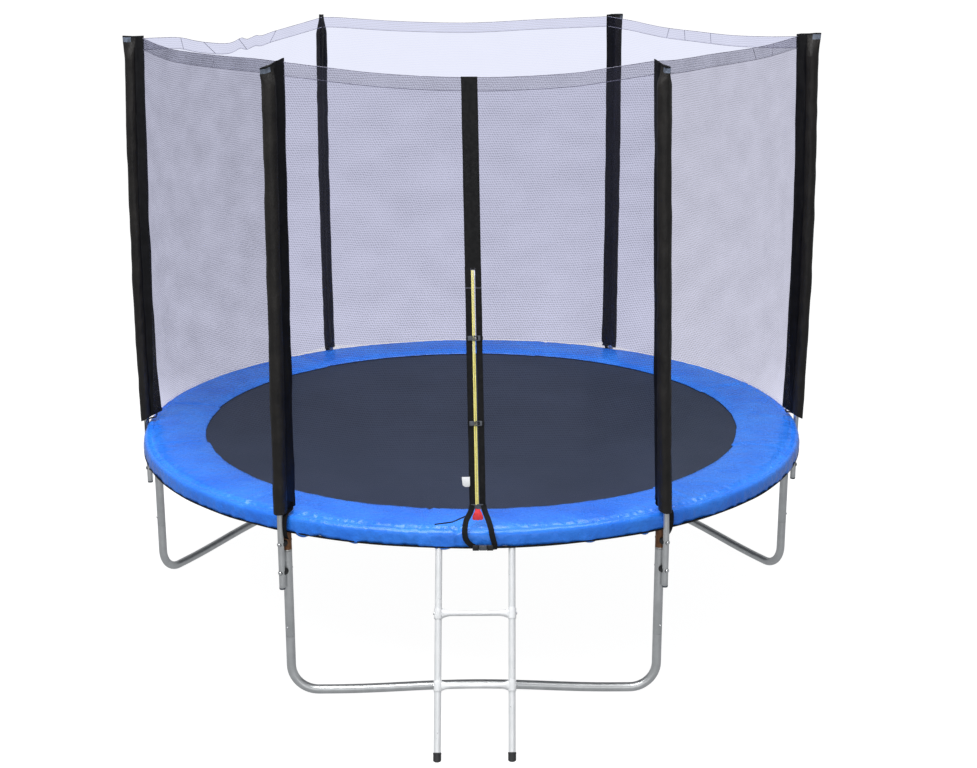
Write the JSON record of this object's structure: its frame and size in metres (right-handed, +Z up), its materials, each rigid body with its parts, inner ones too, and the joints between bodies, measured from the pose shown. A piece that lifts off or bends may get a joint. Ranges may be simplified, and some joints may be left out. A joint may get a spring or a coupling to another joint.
{
  "type": "backyard trampoline",
  "caption": "Round garden trampoline on U-shaped steel legs, with a blue spring pad, a zipped safety net on padded poles and a hook-on ladder.",
  "frame": {"origin": "on the floor, under the middle of the whole object's bounding box", "axes": "+Z up, -Y towards the door and the ladder, +X to the right of someone who faces the door"},
  "size_m": [3.167, 3.4365, 2.586],
  "materials": {
    "galvanised_steel": "dull zinc-coated tube",
    "spring_steel": "zinc-coated spring wire",
    "sleeve_cover": "black coated cover over foam, slightly glossy",
    "mat_cloth": "woven black jump cloth",
    "pad_cover": "glossy blue coated cloth over foam",
    "net_mesh": "fine black knotted net with black binding",
    "black_plastic": "moulded black plastic",
    "pull_red": "red cloth pull on a black metal slider",
    "step_white": "white coated steel",
    "foot_rubber": "black moulded cap"
  },
  "bodies": {
    "frame": {"top_rail_1": "galvanised_steel", "top_rail_2": "galvanised_steel", "top_rail_3": "galvanised_steel", "top_rail_4": "galvanised_steel", "top_rail_5": "galvanised_steel", "top_rail_6": "galvanised_steel", "upper_leg_1": "galvanised_steel", "upper_leg_2": "galvanised_steel", "upper_leg_3": "galvanised_steel", "upper_leg_4": "galvanised_steel", "upper_leg_5": "galvanised_steel", "upper_leg_6": "galvanised_steel", "base_leg_front": "galvanised_steel", "base_leg_left": "galvanised_steel", "base_leg_right": "galvanised_steel", "pole_1": "galvanised_steel", "pole_2": "galvanised_steel", "pole_3": "galvanised_steel", "pole_4": "galvanised_steel", "pole_5": "galvanised_steel", "pole_6": "galvanised_steel", "pole_sleeve_1": "sleeve_cover", "pole_sleeve_2": "sleeve_cover", "pole_sleeve_3": "sleeve_cover", "pole_sleeve_4": "sleeve_cover", "pole_sleeve_5": "sleeve_cover", "pole_sleeve_6": "sleeve_cover", "pole_bolt_lower_1": "galvanised_steel", "pole_bolt_lower_2": "galvanised_steel", "pole_bolt_lower_3": "galvanised_steel", "pole_bolt_lower_4": "galvanised_steel", "pole_bolt_lower_5": "galvanised_steel", "pole_bolt_lower_6": "galvanised_steel", "pole_bolt_upper_1": "galvanised_steel", "pole_bolt_upper_2": "galvanised_steel", "pole_bolt_upper_3": "galvanised_steel", "pole_bolt_upper_4": "galvanised_steel", "pole_bolt_upper_5": "galvanised_steel", "pole_bolt_upper_6": "galvanised_steel", "spring_set": "spring_steel", "safety_pad": "pad_cover", "net_panel_1": "net_mesh", "net_panel_2": "net_mesh", "net_panel_3": "net_mesh", "net_panel_4": "net_mesh", "net_panel_5": "net_mesh", "net_front": "net_mesh"},
    "mat": {"jump_mat": "mat_cloth"},
    "ladder": {"ladder_rail_left": "galvanised_steel", "ladder_rail_right": "galvanised_steel", "ladder_step_upper": "step_white", "ladder_step_lower": "step_white", "ladder_foot_left": "foot_rubber", "ladder_foot_right": "foot_rubber"},
    "slider": {"zip_slider": "pull_red"},
    "door_left": {"door_flap_left": "net_mesh"},
    "door_right": {"door_flap_right": "net_mesh"},
    "clip_1": {"door_clip_1": "black_plastic"},
    "clip_2": {"door_clip_2": "black_plastic"},
    "clip_3": {"door_clip_3": "black_plastic"}
  },
  "joints": [
    {"name": "mat_bounce", "type": "slide", "parent": "frame", "child": "mat", "axis": [0, 0, 1], "range_m": [-0.3, 0], "stiffness_N_per_m": 5000, "deforming": ["spring_set"]},
    {"name": "ladder_swing", "type": "hinge", "parent": "frame", "child": "ladder", "pos_m": [0.006, -1.31018, 0.757], "axis": [-1, 0, 0], "range_deg": [0, 12]},
    {"name": "zip_slide", "type": "slide", "parent": "frame", "child": "slider", "axis": [-0.0155, 0.115, 0.9932], "range_m": [0, 0.85]},
    {"name": "door_left_swing", "type": "hinge", "parent": "frame", "child": "door_left", "pos_m": [-0.20187, -1.25348, 1.30659], "axis": [-0.3704, -0.1069, -0.9227], "range_deg": [0, 120]},
    {"name": "door_right_swing", "type": "hinge", "parent": "frame", "child": "door_right", "pos_m": [0.21813, -1.25348, 1.30659], "axis": [-0.3949, 0.1057, 0.9126], "range_deg": [0, 120]},
    {"name": "clip_1_pull", "type": "slide", "parent": "door_left", "child": "clip_1", "axis": [-0.9999, -0.0018, -0.0154], "range_m": [0, 0.03]},
    {"name": "clip_2_pull", "type": "slide", "parent": "door_left", "child": "clip_2", "axis": [-0.9999, -0.0018, -0.0154], "range_m": [0, 0.03]},
    {"name": "clip_3_pull", "type": "slide", "parent": "door_left", "child": "clip_3", "axis": [-0.9999, -0.0018, -0.0154], "range_m": [0, 0.03]}
  ]
}
